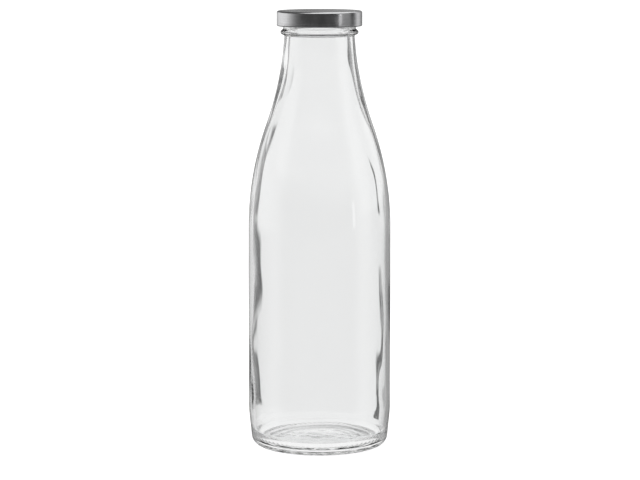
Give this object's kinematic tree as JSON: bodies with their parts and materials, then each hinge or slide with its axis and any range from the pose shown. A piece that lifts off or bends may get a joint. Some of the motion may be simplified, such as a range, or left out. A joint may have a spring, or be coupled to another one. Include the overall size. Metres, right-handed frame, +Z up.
{
  "type": "milk bottle",
  "caption": "Tall clear glass milk bottle with sloping shoulders, a bead under its mouth and a twist-off metal cap with lugs.",
  "frame": {"origin": "centre of the base, on the surface that the bottle stands on", "axes": "+Z up the bottle's axis to the cap; +X through the middle of one of the cap's lugs"},
  "size_m": [0.0864, 0.0864, 0.2653],
  "materials": {
    "glass": "clear, polished, slightly wavy inside",
    "tinplate": "satin, clear lacquer",
    "sealing_compound": "soft, matte"
  },
  "bodies": {
    "bottle": {"glass_bottle": "glass"},
    "seal": {"sealing_ring": "sealing_compound"},
    "cap": {"cap_shell": "tinplate"}
  },
  "joints": [
    {"name": "cap_lift", "type": "slide", "parent": "bottle", "child": "seal", "axis": [0, 0, 1], "range_m": [0, 0.06]},
    {"name": "cap_turn", "type": "hinge", "parent": "seal", "child": "cap", "pos_m": [0, 0, 0.2555], "axis": [0, 0, 1], "range_deg": [-60, 0]}
  ]
}
